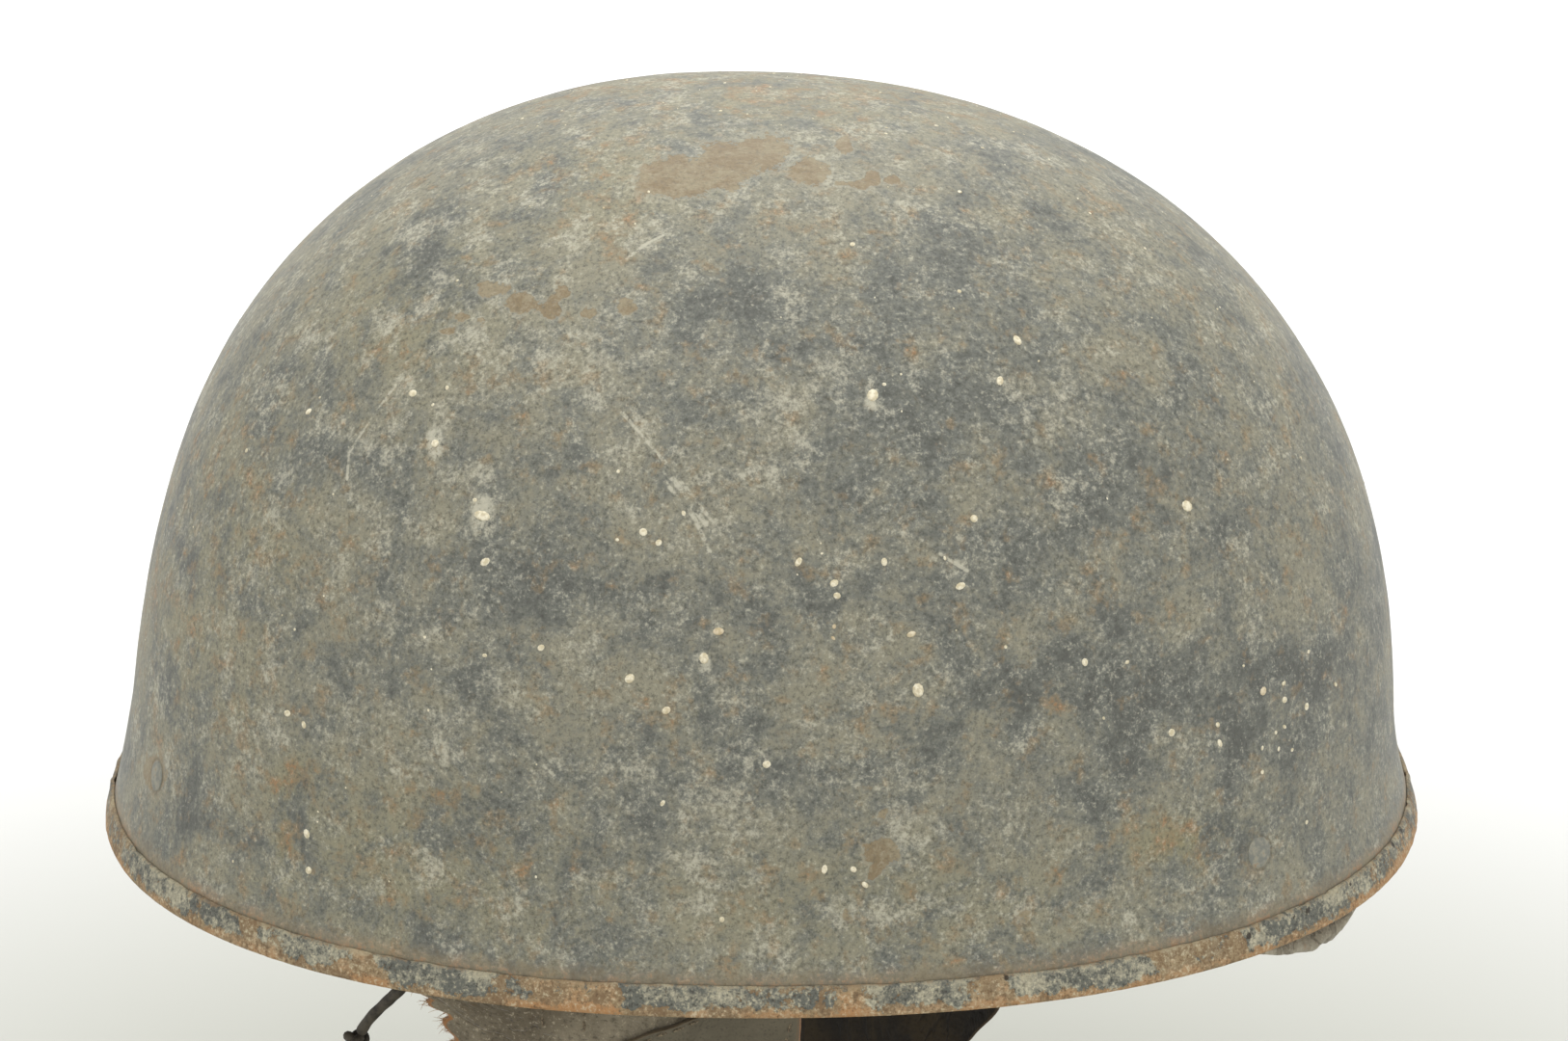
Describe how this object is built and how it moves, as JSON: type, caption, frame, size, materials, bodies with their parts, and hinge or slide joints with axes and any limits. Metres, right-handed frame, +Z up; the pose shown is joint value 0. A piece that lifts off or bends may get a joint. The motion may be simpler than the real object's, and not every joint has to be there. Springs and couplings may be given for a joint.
{
  "type": "despatch rider helmet",
  "caption": "Worn steel despatch rider helmet: plain dome, folded rim band, flush rivets, leather headband, ear flaps, nape curtain and a short lace.",
  "frame": {"origin": "inside of the crown at its middle, where a head carries the helmet", "axes": "+Z up, +X towards the nape, so the front is -X, and -Y is the wearer's left; the rim lies in a plane square to Z"},
  "size_m": [0.2797, 0.2398, 0.2615],
  "materials": {
    "old_paint": "worn matt paint with dust, rust and specks",
    "rim_steel": "rusty steel with patches of old paint",
    "rivet_steel": "painted over and rusty at the edge",
    "headband_leather": "dark worn leather",
    "suede_leather": "rough grey brown leather",
    "facing_leather": "smooth grey leather",
    "dark_leather": "dark brown half gloss leather",
    "curtain_leather": "dusty leather",
    "lace_leather": "dark leather"
  },
  "bodies": {
    "root": {"shell": "old_paint", "rim_band": "rim_steel", "headband": "headband_leather", "rivet_front_left": "rivet_steel", "rivet_front_right": "rivet_steel", "rivet_rear_left": "rivet_steel", "rivet_rear_right": "rivet_steel", "ear_flap_left": "suede_leather", "flap_facing_left": "facing_leather", "ear_flap_right": "dark_leather", "nape_curtain": "curtain_leather", "tie_lace": "lace_leather", "lace_knot": "lace_leather"}
  },
  "joints": []
}
